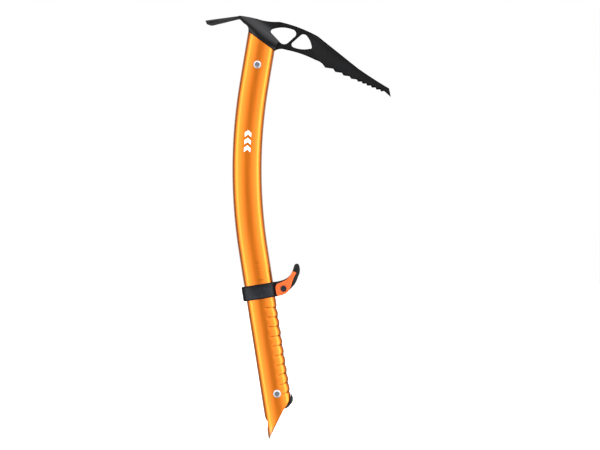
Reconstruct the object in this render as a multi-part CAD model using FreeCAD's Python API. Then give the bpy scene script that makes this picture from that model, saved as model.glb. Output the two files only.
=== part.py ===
import FreeCAD, Part
import math
import os

# A short technical ice axe with an adze and a sliding hand rest.
# Millimetres. X points along the pick, Z up the axe, Y across it. The origin is the point of the foot.

V = FreeCAD.Vector
ACROSS = V(0, 1, 0)

# Fits
FIT = 0.02              # gap round pieces that are pressed or bolted together
RUN = 0.05              # gap round pieces that turn or slide
LOOSE = 0.1             # gap beside pieces that are only pushed or dropped in

# Shaft: a bent oval tube
SHAFT_WIDTH = 31.1
SHAFT_DEPTH = 21.0
SHAFT_END_RADIUS = 9.5  # of the oval's narrow ends
WALL = 1.5
FOOT_AXIS_X = 15.3      # where the lower axis would cross the height of the point
LOWER_LENGTH = 203.4    # along the lower axis, from that height to the bend
LOWER_TILT = 8.96
BEND_RADIUS = 545.0
UPPER_TILT = 9.42
UPPER_LENGTH = 75.0     # of the straight bar above the bend, before the mouth is cut
MOUTH_REAR = (-21.8, 432.4)     # the shaft's upper end is cut obliquely from here to MOUTH_FRONT
MOUTH_FRONT = (5.9, 411.9)

# Grip grooves pressed into the pick side of the shaft
GROOVE_COUNT = 10
GROOVE_PITCH = 10.0
GROOVE_FIRST = 19.4     # below the middle of the hand rest
GROOVE_RADIUS = 2.0
GROOVE_SHIFT = 1.2      # how far the groove's floor is moved towards the adze side
GROOVE_FADE = 0.15      # how far that floor is grown, so that the groove runs out on the broad sides
GROOVE_TILT_TOP = 9.0
GROOVE_TILT_BOTTOM = -9.0

# Cross bolts: a button-head screw in a sleeve nut
BOLT_HEAD_RADIUS = 4.2
BOLT_HEAD_HEIGHT = 2.2
BOLT_RIM_HEIGHT = 0.5
BOLT_CROWN_RADIUS = 2.2 # of the flat on top of the dome
BOLT_SHANK_RADIUS = 2.0
BOLT_SLEEVE_RADIUS = 3.0
BOLT_SOCKET_WIDTH = 4.0
BOLT_SOCKET_DEPTH = 1.5
SLEEVE_END_GAP = 1.0    # from the end of a nut's sleeve to the near side of the shaft
SHANK_END_GAP = 4.0     # from the end of a screw's shank to the far side
THREAD_END_GAP = 3.0    # from the bottom of a nut's thread to the far side
SEAT_DEPTH = 0.4        # of the flat that each head rests on
SEAT_CLEARANCE = 0.2    # of the flat's rim round the head
HEAD_BOLT_HEIGHT = 397.2
FOOT_BOLT_HEIGHT = 48.6
FOOT_BOLT_OFFSET = 1.3  # from the axis, towards the pick side

# Foot plug
PLUG_TOP = 66.0
PLUG_BOTTOM = 3.0
PLUG_CAP_WIDTH = 13.0   # of the rounded cap that stands proud of the bevel
PLUG_CAP_ROUNDING = 1.5
PLUG_CAP_ROUND_FROM = 23.5  # X beyond which the cap's edges are rounded

# Pick and adze
PICK_THICKNESS = 4.0
TANG_THICKNESS = 3.8
TANG_WIDTH = 19.0
TANG_END_HEIGHT = 379.0
TANG_LAP = 0.5          # how far the tang runs up past the shaft's mouth, into the pick
RIDGE_Z = 442.9         # top of the adze's body, where the pick leaves it
RIDGE_COVER = 2.6       # metal of the adze above the pick's seat
LEG_THICKNESS = 1.5     # of the adze's legs, one on each side of the tang
LEG_END_HEIGHT = 385.0
LEG_LAP = 1.0           # how far the legs run up past the mouth, into the adze's body
CORNER_RELIEF = 1.6     # radius of the relief in the adze at the front of the mouth
COARSE_TEETH = (10.8, 8.7, 8.1, 7.3)    # pitch of each, from the shaft outwards
FINE_TEETH = (4.9,) * 5
FIRST_TOOTH = (59.9, 394.5)
TOOTH_DROOP = 0.4286    # fall of the line of tooth tips, per millimetre along the pick
TOOTH_ROOT_AT = 0.79    # of a pitch
COARSE_ROOT_FALL = 0.11
FINE_ROOT_FALL = -0.02
CHEEK_FRONT_X = 11.7
ADZE_NECK = (-31.2, 449.2)
ADZE_EDGE = (-66.8, 444.3)
ADZE_NECK_HALF_WIDTH = 9.0
ADZE_HALF_WIDTH = 23.5
ADZE_THICKNESS = 2.6
ADZE_EDGE_THICKNESS = 0.6
ADZE_GROUND_FROM = 0.82 # share of the blade's length
ADZE_CORNER_RADIUS = 7.0
ADZE_NECK_DROOP = 0.5   # how much lower the blade's sides are than its middle, at the neck
ADZE_BOW = 2.5          # how much more they droop at the edge
ADZE_STEPS = 11
BLADE_ROOT = (-24.0, 448.3)     # where the blade starts, inside the adze's body
BLADE_ROOT_HALF_WIDTH = 7.5
BLADE_ROOT_THICKNESS = 5.0
RIDGE_HALF_DEPTH = 4.4
FLARE_FROM = 3.0        # heights above the mouth between which the adze's body is drawn in
FLARE_TO = 20.0
FLARE_TOP = 45.0
FLARE_STEP = 2.5
FLARE_HALF_LENGTH = 60.0
FLARE_ROUNDING = 0.85   # radius of each section's ends, as a share of its half depth
FILLER_END_HEIGHT = 381.0
FILLER_MOUTH_GAP = 2.0  # from the top of a filler to the mouth
RIVET_RADIUS = 1.5
RIVET_ASIDE = 5.5       # from the axis, one to each side
RIVET_ABOVE_BOLT = 10.0

# Hand rest. Its own frame lies on the shaft's lower axis: X towards the pick side, Z up the shaft.
REST_HEIGHT = 156.9
STRAP_THICKNESS = 2.0
STRAP_HEIGHT = 14.4
STRAP_GAP = 0.2
PIVOT = (25.4, -0.9)
PIN_RADIUS = 1.5
PIN_HEAD_RADIUS = 3.0
PIN_HEAD_HEIGHT = 1.1
PIN_INSET = 0.1         # of the pin's and nut's faces, below the lever's cheeks
PIN_RECESS_RADIUS = 1.2
PIN_RECESS_DEPTH = 0.7
NUT_SKIN = 0.3          # metal over the end of the pin
BUSH_WALL = 0.8
CAM_HALF_WIDTH = 3.9
CAM_RADIUS = 5.0
CAM_OFFSET = 0.8        # of the cam's middle from the pivot, towards the shaft when closed
EAR_INNER = 4.0
EAR_OUTER = 6.2
EAR_RADIUS = 5.5
EAR_CLEARANCE = 0.4     # round the ears, inside the lever
WASHER_THICKNESS = 0.5
WASHER_RADIUS = 3.4
CHEEK_INNER = 6.8
CHEEK_OUTER = 9.4
OVERMOLD_HALF_WIDTH = 8.7
TRIGGER_TURN = 95.0
TRIGGER_REACH = 16.0    # of the room inside the lever, from the pivot
SHOE_HALF_HEIGHT = 5.2
SHOE_FRONT_X = 12.0     # inside the shaft's section, so that the shaft shapes the pad
STRAP_OPEN_FROM = 10.0  # X from which the strap is open between its ears
STRAP_FULL_TO = 17.7    # X up to which the ears are as tall as the band
PAD_THICKNESS = 1.2

BIG = 200.0             # longer than anything it has to cut through


# Shapes shared by several pieces

def at(point, y=0.0):
    return V(point[0], y, point[1])


def outline(start, *legs):
    """A face in the XZ plane. A leg is a point for a line, or a middle and an end point for an arc."""
    here = at(start)
    edges = []
    for leg in legs:
        if isinstance(leg[0], tuple):
            end = at(leg[1])
            edges.append(Part.Arc(here, at(leg[0]), end).toShape())
        else:
            end = at(leg)
            edges.append(Part.makeLine(here, end))
        here = end
    if here.distanceToPoint(at(start)) > 1e-6:
        edges.append(Part.makeLine(here, at(start)))
    return Part.Face(Part.Wire(edges))


def slab(face, low, high):
    """A face in the XZ plane, made solid between two values of Y."""
    moved = face.copy()
    moved.translate(V(0, low, 0))
    return moved.extrude(V(0, high - low, 0))


def plate(face, thickness):
    return slab(face, -thickness / 2, thickness / 2)


def rod(radius, low, high, centre=(0.0, 0.0)):
    """A round bar along Y."""
    return Part.makeCylinder(radius, high - low, at(centre, low), ACROSS)


def fused(shapes):
    return shapes[0].fuse(shapes[1:]).removeSplitter()


def oval_arcs(half_width, half_depth, end_radius):
    """The two centres and the join angle of an oval made of four tangent arcs."""
    end_centre = half_width - end_radius
    broad_radius = (end_centre ** 2 + half_depth ** 2 - end_radius ** 2) / (2 * (half_depth - end_radius))
    broad_centre = broad_radius - half_depth
    return end_centre, broad_centre, math.atan2(broad_centre, end_centre)


def oval(half_width, half_depth, end_radius):
    """An oval wire in the XY plane, of four tangent arcs."""
    end_centre, _, join = oval_arcs(half_width, half_depth, end_radius)
    x = end_centre + end_radius * math.cos(join)
    y = end_radius * math.sin(join)
    corners = [V(x, -y, 0), V(x, y, 0), V(-x, y, 0), V(-x, -y, 0)]
    middles = [V(half_width, 0, 0), V(0, half_depth, 0), V(-half_width, 0, 0), V(0, -half_depth, 0)]
    edges = []
    for number, middle in enumerate(middles):
        edges.append(Part.Arc(corners[number], middle, corners[(number + 1) % 4]).toShape())
    return Part.Wire(edges)


def shaft_oval(offset):
    """The shaft's own section, grown by an offset."""
    return oval(SHAFT_WIDTH / 2 + offset, SHAFT_DEPTH / 2 + offset, SHAFT_END_RADIUS + offset)


# Where things are on the shaft

def turned(degrees):
    return FreeCAD.Rotation(ACROSS, degrees)


def lower_point(along, aside=0.0):
    """A point beside the lower axis, measured from the height of the shaft's point."""
    up = turned(-LOWER_TILT).multVec(V(0, 0, 1))
    side = turned(-LOWER_TILT).multVec(V(1, 0, 0))
    return V(FOOT_AXIS_X, 0, 0) + up * along + side * aside


def lower_length_at(height):
    return height / math.cos(math.radians(LOWER_TILT))


def bend_centre():
    return lower_point(LOWER_LENGTH, BEND_RADIUS)


def upper_point(along, aside=0.0):
    """A point beside the upper axis, measured from the top of the bend."""
    up = turned(UPPER_TILT).multVec(V(0, 0, 1))
    side = turned(UPPER_TILT).multVec(V(1, 0, 0))
    return bend_centre() - side * BEND_RADIUS + up * along + side * aside


def upper_length_at(height):
    return (height - upper_point(0).z) / math.cos(math.radians(UPPER_TILT))


def rest_placement():
    return FreeCAD.Placement(lower_point(lower_length_at(REST_HEIGHT)), turned(-LOWER_TILT))


def head_bolt_centre():
    centre = upper_point(upper_length_at(HEAD_BOLT_HEIGHT))
    return centre.x, centre.z


def foot_bolt_centre():
    centre = lower_point(lower_length_at(FOOT_BOLT_HEIGHT), FOOT_BOLT_OFFSET)
    return centre.x, centre.z


# Shaft

def bent_bar(offset):
    """The shaft as a solid bar with uncut ends, grown by an offset."""
    section = Part.Face(shaft_oval(offset))
    low = section.copy()
    low.Placement = FreeCAD.Placement(lower_point(LOWER_LENGTH), turned(-LOWER_TILT))
    top = section.copy()
    top.Placement = FreeCAD.Placement(upper_point(0), turned(UPPER_TILT))
    straight_low = low.extrude(lower_point(-10) - lower_point(LOWER_LENGTH))
    bend = low.revolve(bend_centre(), ACROSS, LOWER_TILT + UPPER_TILT)
    straight_top = top.extrude(upper_point(UPPER_LENGTH) - upper_point(0))
    return fused([straight_low, bend, straight_top])


def groove_ring(radius):
    """A bead of the given radius that follows the shaft's pick side, in the section's own plane."""
    reach = GROOVE_FADE + GROOVE_RADIUS
    end_radius = SHAFT_END_RADIUS + reach
    end_centre, broad_centre, join = oval_arcs(SHAFT_WIDTH / 2 + reach, SHAFT_DEPTH / 2 + reach, end_radius)
    start = V(end_centre + end_radius * math.cos(join), -end_radius * math.sin(join), 0)
    disc = Part.Face(Part.Wire(Part.makeCircle(radius, start, V(math.sin(join), math.cos(join), 0))))
    end = disc.revolve(V(end_centre, 0, 0), V(0, 0, 1), math.degrees(2 * join))
    near = disc.revolve(V(0, broad_centre, 0), V(0, 0, -1), 90 - math.degrees(join))
    far = near.mirror(V(0, 0, 0), ACROSS)
    ring = fused([end, near, far])
    ring.translate(V(-GROOVE_SHIFT, 0, 0))
    return ring


def groove_rings(radius):
    rings = []
    for number in range(GROOVE_COUNT):
        share = number / (GROOVE_COUNT - 1)
        tilt = GROOVE_TILT_TOP + share * (GROOVE_TILT_BOTTOM - GROOVE_TILT_TOP)
        along = lower_length_at(REST_HEIGHT) - GROOVE_FIRST - number * GROOVE_PITCH
        ring = groove_ring(radius)
        ring.rotate(V(SHAFT_WIDTH / 2, 0, 0), ACROSS, tilt)
        ring.Placement = FreeCAD.Placement(lower_point(along), turned(-LOWER_TILT)).multiply(ring.Placement)
        rings.append(ring)
    return rings


def bevel_side():
    """Everything on the pick side of the foot's long bevel."""
    return plate(outline((23.9, 50.6), ((22.3, 41.8), (16.2, 32.2)), ((8.7, 17.6), (0.0, 0.0)),
                         (0.0, -BIG), (BIG, -BIG), (BIG, 50.6)), BIG)


def pinch_side(offset):
    """Everything on the adze side of the pinched point, moved towards the pick side by an offset."""
    face = outline((-4.6, 27.0), ((-3.2, 22.0), (-0.9, 18.9)), (-1.5, 9.5), (0.0, 0.0), (0.0, -BIG),
                   (-BIG, -BIG), (-BIG, 27.0))
    face.translate(V(offset, 0, 0))
    return plate(face, BIG)


def above_mouth(offset):
    """Everything above the shaft's oblique upper end, moved up the shaft by an offset."""
    slope = (MOUTH_FRONT[1] - MOUTH_REAR[1]) / (MOUTH_FRONT[0] - MOUTH_REAR[0])
    rear = (-BIG, MOUTH_REAR[1] + slope * (-BIG - MOUTH_REAR[0]) + offset)
    front = (BIG, MOUTH_FRONT[1] + slope * (BIG - MOUTH_FRONT[0]) + offset)
    return plate(outline(rear, front, (BIG, 600.0), (-BIG, 600.0)), BIG)


def bolt_cuts(centre):
    """The cross hole for a sleeve nut, and the flats that both heads rest on."""
    depth = SHAFT_DEPTH / 2
    hole = rod(BOLT_SLEEVE_RADIUS + FIT, -BIG, BIG, centre)
    seat_radius = BOLT_HEAD_RADIUS + SEAT_CLEARANCE
    near_seat = rod(seat_radius, -BIG, -depth + SEAT_DEPTH, centre)
    far_seat = rod(seat_radius, depth - SEAT_DEPTH, BIG, centre)
    return [hole, near_seat, far_seat]


def shaft_bore(gap=0.0):
    """The space inside the shaft. The pressed grooves and the pinched point stand into it."""
    bore = bent_bar(-WALL - gap)
    return bore.cut(groove_rings(GROOVE_RADIUS + WALL + gap) + [pinch_side(WALL + gap)])


def make_shaft(bore):
    tube = bent_bar(0.0).cut(groove_rings(GROOVE_RADIUS) + [pinch_side(0.0)])
    tube = tube.cut([bore, bevel_side(), above_mouth(0.0)])
    return tube.cut(bolt_cuts(head_bolt_centre()) + bolt_cuts(foot_bolt_centre()))


# Bolts

def make_bolt(centre):
    """A button-head screw that enters from the near side."""
    seat = -SHAFT_DEPTH / 2 + SEAT_DEPTH
    head = button_head(centre, seat - FIT, -1)
    shank = rod(BOLT_SHANK_RADIUS, seat - FIT, SHAFT_DEPTH / 2 - SHANK_END_GAP, centre)
    return fused([head, shank])


def make_sleeve_nut(centre):
    """A nut with a long sleeve and a head like the screw's, from the far side."""
    seat = SHAFT_DEPTH / 2 - SEAT_DEPTH
    head = button_head(centre, seat + FIT, 1)
    sleeve = rod(BOLT_SLEEVE_RADIUS, -SHAFT_DEPTH / 2 + SLEEVE_END_GAP, seat + FIT, centre)
    thread = rod(BOLT_SHANK_RADIUS + FIT, -SHAFT_DEPTH / 2, SHAFT_DEPTH / 2 - THREAD_END_GAP, centre)
    return fused([head, sleeve]).cut(thread)


def button_head(centre, seat, side):
    """A domed head with a hexagon socket, standing off the plane Y = seat."""
    shoulder = (0.74 * BOLT_HEAD_RADIUS, 0.8 * BOLT_HEAD_HEIGHT)
    dome = outline((0.0, 0.0), (BOLT_HEAD_RADIUS, 0.0), (BOLT_HEAD_RADIUS, BOLT_RIM_HEIGHT),
                   (shoulder, (BOLT_CROWN_RADIUS, BOLT_HEAD_HEIGHT)), (0.0, BOLT_HEAD_HEIGHT))
    head = dome.revolve(V(0, 0, 0), V(0, 0, 1), 360)
    corners = []
    reach = BOLT_SOCKET_WIDTH / math.sqrt(3)
    floor = BOLT_HEAD_HEIGHT - BOLT_SOCKET_DEPTH
    for number in range(7):
        angle = math.radians(60 * number)
        corners.append(V(reach * math.cos(angle), reach * math.sin(angle), floor))
    socket = Part.Face(Part.makePolygon(corners)).extrude(V(0, 0, BOLT_HEAD_HEIGHT))
    head = head.cut(socket)
    head.rotate(V(0, 0, 0), V(1, 0, 0), -90 * side)
    head.translate(at(centre, seat))
    return head


# Head

def window_near_shaft():
    return outline((4.8, 435.6), ((13.5, 437.0), (25.5, 434.9)), ((29.0, 431.4), (26.6, 426.3)),
                   (20.4, 420.6), ((16.4, 419.2), (11.9, 421.3)), (3.4, 430.3),
                   ((2.2, 433.4), (4.8, 435.6)))


def window_mid_pick():
    return outline((34.7, 429.4), ((38.2, 429.6), (41.0, 427.4)), ((44.4, 421.4), (45.6, 416.6)),
                   ((45.3, 414.9), (43.6, 414.3)), ((34.0, 413.9), (26.6, 415.8)),
                   ((24.4, 418.0), (25.8, 421.6)), (34.7, 429.4))


def tooth_points():
    """Tip and root points of the teeth, from the shaft outwards, ending with the last tip."""
    x, z = FIRST_TOOTH
    points = [(x, z)]
    falls = [COARSE_ROOT_FALL] * len(COARSE_TEETH) + [FINE_ROOT_FALL] * len(FINE_TEETH)
    for pitch, fall in zip(COARSE_TEETH + FINE_TEETH, falls):
        points.append((x + TOOTH_ROOT_AT * pitch, z - fall * pitch))
        x += pitch
        z -= TOOTH_DROOP * pitch
        points.append((x, z))
    return points


def pick_outline():
    """The pick from its top edge round the nose and teeth to the shaft, with the part in the adze."""
    teeth = tooth_points()
    teeth.reverse()
    seat_top = RIDGE_Z - RIDGE_COVER
    return outline((CHEEK_FRONT_X, seat_top), (CHEEK_FRONT_X, RIDGE_Z), ((33.8, 436.2), (52.3, 427.5)),
                   (94.8, 393.5), ((110.6, 382.8), (127.7, 372.3)), (129.5, 363.4), (122.4, 369.7),
                   *teeth, (57.2, 398.3), ((54.2, 400.6), (49.7, 402.5)), ((34.0, 409.2), (18.0, 413.4)),
                   ((11.4, 414.2), MOUTH_FRONT), (-17.0, 425.0), (-17.0, 438.0), (-6.6, 439.9))


def cheek_outline():
    """The side of the adze's body, from its neck along the ridge to the window and down to the shaft."""
    return outline(ADZE_NECK, ((-20.8, 447.8), (-6.6, 444.4)), ((1.4, 443.1), (CHEEK_FRONT_X, RIDGE_Z)),
                   (CHEEK_FRONT_X, 430.0), (CHEEK_FRONT_X - 1.0, 421.3), ((8.6, 417.0), (7.1, 412.6)),
                   MOUTH_FRONT, MOUTH_REAR, ((-22.0, 437.2), (-26.0, 441.4)), (-31.2, 446.6))


def tang():
    width = TANG_WIDTH / 2
    low = upper_length_at(TANG_END_HEIGHT)
    high = upper_length_at(MOUTH_REAR[1])
    corners = [upper_point(low, -width), upper_point(high, -width), upper_point(high, width),
               upper_point(low, width)]
    return Part.Face(Part.makePolygon(corners + corners[:1]))


def bolt_hole():
    return rod(BOLT_SLEEVE_RADIUS + FIT, -BIG, BIG, head_bolt_centre())


def rivet_centres():
    """Two rivets on the axis, between the head bolt and the shaft's mouth."""
    bolt = upper_length_at(HEAD_BOLT_HEIGHT)
    centres = []
    for aside in (-RIVET_ASIDE, RIVET_ASIDE):
        point = upper_point(bolt + RIVET_ABOVE_BOLT - aside / 2, aside)
        centres.append((point.x, point.z))
    return centres


def rivet_holes():
    holes = []
    for centre in rivet_centres():
        holes.append(rod(RIVET_RADIUS + FIT, -BIG, BIG, centre))
    return holes


def make_pick():
    windows = plate(window_near_shaft(), BIG).fuse(plate(window_mid_pick(), BIG))
    blade = plate(pick_outline(), PICK_THICKNESS).common(above_mouth(FIT)).cut(plate(cheek_outline(), BIG))
    seat = plate(pick_outline(), TANG_THICKNESS).common(above_mouth(FIT))
    leg = plate(tang(), TANG_THICKNESS).cut(above_mouth(TANG_LAP))
    return fused([blade, seat, leg]).cut([windows, bolt_hole()] + rivet_holes())


def blade_section(x, top, half_width, thickness, droop):
    """A strip across the adze's blade, bowed so that its sides hang lower than its middle."""
    edge = top - droop
    upper = Part.Arc(V(x, -half_width, edge), V(x, 0, top), V(x, half_width, edge))
    lower = Part.Arc(V(x, half_width, edge - thickness), V(x, 0, top - thickness),
                     V(x, -half_width, edge - thickness))
    right = Part.makeLine(V(x, half_width, edge), V(x, half_width, edge - thickness))
    left = Part.makeLine(V(x, -half_width, edge - thickness), V(x, -half_width, edge))
    return Part.Wire([upper.toShape(), right, lower.toShape(), left])


def blade_plan():
    """A tall block with the blade's width at its edge, and the edge's two corners rounded."""
    corner = V(ADZE_EDGE[0], -ADZE_HALF_WIDTH, 0.0)
    block = Part.makeBox(BIG, 2 * ADZE_HALF_WIDTH, 600.0, corner)
    corners = []
    for edge in block.Edges:
        if edge.BoundBox.ZLength > BIG and edge.BoundBox.XMax < ADZE_EDGE[0] + FIT:
            corners.append(edge)
    return block.makeFillet(ADZE_CORNER_RADIUS, corners)


def adze_blade():
    """A spade that widens and bows from the neck, and is ground thin over the last of its length."""
    sections = [blade_section(*BLADE_ROOT, BLADE_ROOT_HALF_WIDTH, BLADE_ROOT_THICKNESS, ADZE_NECK_DROOP)]
    for step in range(ADZE_STEPS + 1):
        share = step / ADZE_STEPS
        x = ADZE_NECK[0] + share * (ADZE_EDGE[0] - ADZE_NECK[0])
        top = ADZE_NECK[1] + share * (ADZE_EDGE[1] - ADZE_NECK[1])
        spread = math.sin(math.pi / 2 * share) ** 1.4
        half_width = ADZE_NECK_HALF_WIDTH + spread * (ADZE_HALF_WIDTH - ADZE_NECK_HALF_WIDTH)
        ground = max(0.0, share - ADZE_GROUND_FROM) / (1 - ADZE_GROUND_FROM)
        thickness = ADZE_THICKNESS - ground * (ADZE_THICKNESS - ADZE_EDGE_THICKNESS)
        droop = ADZE_NECK_DROOP + share * ADZE_BOW
        sections.append(blade_section(x, top, half_width, thickness, droop))
    return Part.makeLoft(sections, True, True).common(blade_plan())


def flare_section(height):
    """An oval section of the adze's body, at a height above the shaft's mouth."""
    half_mouth = (at(MOUTH_FRONT) - at(MOUTH_REAR)).Length / 2
    half_length = min(half_mouth + 1.2 * height + 0.6 * height ** 2, FLARE_HALF_LENGTH)
    share = min(max((height - FLARE_FROM) / (FLARE_TO - FLARE_FROM), 0.0), 1.0)
    drawn_in = share ** 2 * (3 - 2 * share)
    half_depth = SHAFT_DEPTH / 2 - drawn_in * (SHAFT_DEPTH / 2 - RIDGE_HALF_DEPTH)
    return oval(half_length, half_depth, FLARE_ROUNDING * half_depth)


def flare():
    """A body as broad as the shaft at its mouth, drawn in to the thickness of the ridge."""
    rear, front = at(MOUTH_REAR), at(MOUTH_FRONT)
    slope = math.degrees(math.atan2(rear.z - front.z, front.x - rear.x))
    mouth = FreeCAD.Placement((rear + front) * 0.5, turned(slope))
    heights = [FLARE_STEP * step for step in range(int(FLARE_TO / FLARE_STEP) + 1)]
    sections = []
    for height in heights + [FLARE_TOP]:
        wire = flare_section(height)
        wire.Placement = mouth.multiply(FreeCAD.Placement(V(0, 0, height), FreeCAD.Rotation()))
        sections.append(wire)
    return Part.makeLoft(sections, True, True)


def make_adze():
    body = plate(cheek_outline(), BIG).common(flare())
    leg = plate(tang(), TANG_THICKNESS + 2 * (FIT + LEG_THICKNESS))
    below_leg = plate(outline((-BIG, 0.0), (BIG, 0.0), (BIG, LEG_END_HEIGHT), (-BIG, LEG_END_HEIGHT)), BIG)
    leg = leg.cut([above_mouth(LEG_LAP), below_leg])
    slot_width = TANG_THICKNESS + 2 * FIT
    slot = plate(pick_outline(), slot_width).fuse(plate(tang(), slot_width))
    relief = rod(CORNER_RELIEF, -slot_width / 2, slot_width / 2, MOUTH_FRONT)
    window = plate(window_near_shaft(), BIG)
    return fused([body, adze_blade(), leg]).cut([slot, relief, window, bolt_hole()] + rivet_holes())


def make_filler(bore, side):
    """A block between the tang's legs and one side of the shaft."""
    inner = TANG_THICKNESS / 2 + 2 * FIT + LEG_THICKNESS
    low, high = sorted((side * inner, side * SHAFT_DEPTH))
    length = outline((-BIG, FILLER_END_HEIGHT), (BIG, FILLER_END_HEIGHT), (BIG, 500.0), (-BIG, 500.0))
    block = slab(length, low, high).common(bore)
    return block.cut([above_mouth(-FILLER_MOUTH_GAP), bolt_hole()] + rivet_holes())


def make_rivets():
    """Rivets through the tang and the adze's legs, flush with both."""
    reach = TANG_THICKNESS / 2 + FIT + LEG_THICKNESS
    return Part.makeCompound([rod(RIVET_RADIUS, -reach, reach, centre) for centre in rivet_centres()])


# Foot

def make_foot_plug(bore):
    """A plug that fills the bevelled end, with a rounded cap on the upper part of the bevel."""
    height = outline((-BIG, PLUG_BOTTOM), (BIG, PLUG_BOTTOM), (BIG, PLUG_TOP), (-BIG, PLUG_TOP))
    body = bore.common(plate(height, BIG)).cut(bevel_side())
    cap = plate(outline((23.2, 49.0), ((25.8, 44.2), (22.8, 36.8)), ((20.0, 33.9), (16.4, 32.6)),
                        (12.0, 38.0), (14.0, 49.0)), PLUG_CAP_WIDTH)
    rims = []
    for edge in cap.Edges:
        if edge.BoundBox.YLength < FIT and edge.BoundBox.XMax > PLUG_CAP_ROUND_FROM:
            rims.append(edge)
    cap = cap.makeFillet(PLUG_CAP_ROUNDING, rims).common(bevel_side())
    hole = rod(BOLT_SLEEVE_RADIUS + FIT, -BIG, BIG, foot_bolt_centre())
    return fused([body, cap]).cut(hole)


# Hand rest, in its own frame

def rest_bar(offset, low, high):
    """A length of the shaft's section, grown by an offset."""
    section = Part.Face(shaft_oval(offset))
    section.translate(V(0, 0, low))
    return section.extrude(V(0, 0, high - low))


def make_strap():
    half = STRAP_HEIGHT / 2
    ring = rest_bar(STRAP_GAP + STRAP_THICKNESS, -half, half)
    shoulder = outline((0.0, -half), (STRAP_FULL_TO, -half), (STRAP_FULL_TO, half), (0.0, half))
    ears = []
    for face in (shoulder, ear_outline(0.0, EAR_RADIUS)):
        ears.append(slab(face, -EAR_OUTER, -EAR_INNER))
        ears.append(slab(face, EAR_INNER, EAR_OUTER))
    band = fused([ring] + ears)
    mouth = plate(outline((STRAP_OPEN_FROM, -half), (BIG, -half), (BIG, half), (STRAP_OPEN_FROM, half)),
                  2 * EAR_INNER)
    eye = rod(PIN_RADIUS + BUSH_WALL, -BIG, BIG, PIVOT)
    return band.cut([rest_bar(STRAP_GAP, -BIG, BIG), mouth, eye])


def ear_outline(start, radius):
    """A strip as broad as the strap's ears, from a place on the shaft out to the pivot."""
    x, z = PIVOT
    low = z - radius
    high = z + radius
    return outline((start, low), (x, low), ((x + radius, z), (x, high)), (start, high))


def make_bushes():
    """A sleeve in each of the strap's two eyes."""
    bushes = []
    for low, high in ((-EAR_OUTER, -EAR_INNER), (EAR_INNER, EAR_OUTER)):
        bush = rod(PIN_RADIUS + BUSH_WALL - FIT, low, high, PIVOT)
        bushes.append(bush.cut(rod(PIN_RADIUS + FIT, low, high, PIVOT)))
    return Part.makeCompound(bushes)


def make_washers():
    """A washer between each ear and the lever's cheek."""
    washers = []
    for side in (-1, 1):
        low, high = sorted((side * EAR_OUTER, side * (EAR_OUTER + WASHER_THICKNESS)))
        washer = rod(WASHER_RADIUS, low, high, PIVOT)
        washers.append(washer.cut(rod(PIN_RADIUS + FIT, low, high, PIVOT)))
    return Part.makeCompound(washers)


def make_pivot_pin():
    """A pin with a flat head, let into the near cheek."""
    face = -CHEEK_OUTER + PIN_INSET
    head = rod(PIN_HEAD_RADIUS, face, face + PIN_HEAD_HEIGHT, PIVOT)
    shank = rod(PIN_RADIUS, face, CHEEK_OUTER - PIN_HEAD_HEIGHT, PIVOT)
    recess = rod(PIN_RECESS_RADIUS, -BIG, face + PIN_RECESS_DEPTH, PIVOT)
    return fused([head, shank]).cut(recess)


def make_pivot_nut():
    face = CHEEK_OUTER - PIN_INSET
    nut = rod(PIN_HEAD_RADIUS, face - PIN_HEAD_HEIGHT, face, PIVOT)
    return nut.cut(rod(PIN_RADIUS + FIT, 0.0, face - NUT_SKIN, PIVOT))


def shoe_block():
    z = PIVOT[1]
    back = PIVOT[0] - CAM_RADIUS - CAM_OFFSET - LOOSE
    low = z - SHOE_HALF_HEIGHT
    high = z + SHOE_HALF_HEIGHT
    face = outline((SHOE_FRONT_X, low), (back, low), (back, high), (SHOE_FRONT_X, high))
    return plate(face, 2 * CAM_HALF_WIDTH)


def make_brake_shoe():
    """A block between the ears that the cam pushes against the shaft."""
    return shoe_block().cut(rest_bar(LOOSE + PAD_THICKNESS, -BIG, BIG))


def make_shoe_pad():
    """The rubber facing of the shoe."""
    facing = shoe_block().common(rest_bar(LOOSE + PAD_THICKNESS, -BIG, BIG))
    return facing.cut(rest_bar(LOOSE, -BIG, BIG))


def lever_outline():
    return outline((17.5, 2.6), ((17.15, -1.0), (17.3, -4.9)), ((17.9, -7.0), (20.0, -7.6)),
                   ((25.0, -7.0), (29.1, -5.0)), ((32.2, -1.6), (34.4, 2.4)), ((37.4, 8.2), (41.1, 13.2)),
                   ((39.6, 15.0), (37.4, 15.4)), ((34.0, 11.4), (30.1, 8.2)), ((26.5, 6.9), (21.8, 5.7)),
                   ((18.9, 4.5), (17.5, 2.6)))


def overmold_outline():
    return outline((18.1, 7.5), ((24.0, 7.8), (29.7, 9.1)), ((34.1, 11.8), (37.5, 15.8)), (40.3, 21.3),
                   ((42.7, 23.0), (45.4, 21.4)), ((45.3, 14.6), (42.7, 9.4)), ((38.8, 3.2), (34.1, -1.6)),
                   (30.6, -3.8), (28.0, 0.0), (18.1, 4.0))


def round_pivot(radius, degrees):
    """A point round the pivot. Angles rise anticlockwise from the direction of the pick."""
    angle = math.radians(degrees)
    return PIVOT[0] + radius * math.cos(angle), PIVOT[1] + radius * math.sin(angle)


def trigger_way():
    """The room inside the lever that the ears and the shoe sweep as it turns."""
    closed = plate(ear_outline(PIVOT[0] - TRIGGER_REACH, EAR_RADIUS + EAR_CLEARANCE), 2 * CHEEK_INNER)
    opened = closed.copy()
    opened.rotate(at(PIVOT), ACROSS, -TRIGGER_TURN)
    middle = round_pivot(TRIGGER_REACH, 180 + TRIGGER_TURN / 2)
    end = round_pivot(TRIGGER_REACH, 180 + TRIGGER_TURN)
    sector = outline(PIVOT, round_pivot(TRIGGER_REACH, 180), (middle, end))
    return fused([closed, opened, plate(sector, 2 * CHEEK_INNER)])


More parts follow.
